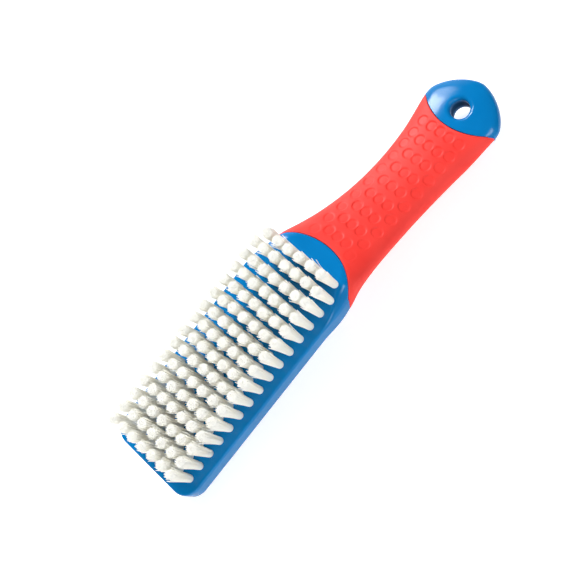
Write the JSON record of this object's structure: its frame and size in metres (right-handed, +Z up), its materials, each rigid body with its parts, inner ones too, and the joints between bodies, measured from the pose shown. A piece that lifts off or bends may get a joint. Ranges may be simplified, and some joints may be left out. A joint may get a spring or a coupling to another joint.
{
  "type": "shoe brush",
  "caption": "Long handled shoe brush with a flat block of stiff bristle tufts, a cranked handle with a soft grip sleeve, and an eye with a hanging hole.",
  "frame": {"origin": "centre of the bounding box's bottom, on the surface that the brush lies on", "axes": "+X from the toe of the block to the eye end of the handle, +Y to the left seen from the toe, +Z up: the brush lies on its back with the bristles up"},
  "size_m": [0.2604, 0.058, 0.052],
  "materials": {
    "blue_plastic": "gloss blue moulding",
    "red_grip": "satin soft grip",
    "white_bristle": "satin white filaments"
  },
  "bodies": {
    "root": {"block_handle_and_eye": "blue_plastic", "soft_grip": "red_grip", "tuft_row_01": "white_bristle", "tuft_row_02": "white_bristle", "tuft_row_03": "white_bristle", "tuft_row_04": "white_bristle", "tuft_row_05": "white_bristle", "tuft_row_06": "white_bristle", "tuft_row_07": "white_bristle", "tuft_row_08": "white_bristle", "tuft_row_09": "white_bristle", "tuft_row_10": "white_bristle", "tuft_row_11": "white_bristle", "tuft_row_12": "white_bristle", "tuft_row_13": "white_bristle", "tuft_row_14": "white_bristle", "tuft_row_15": "white_bristle", "tuft_row_16": "white_bristle"}
  },
  "joints": []
}
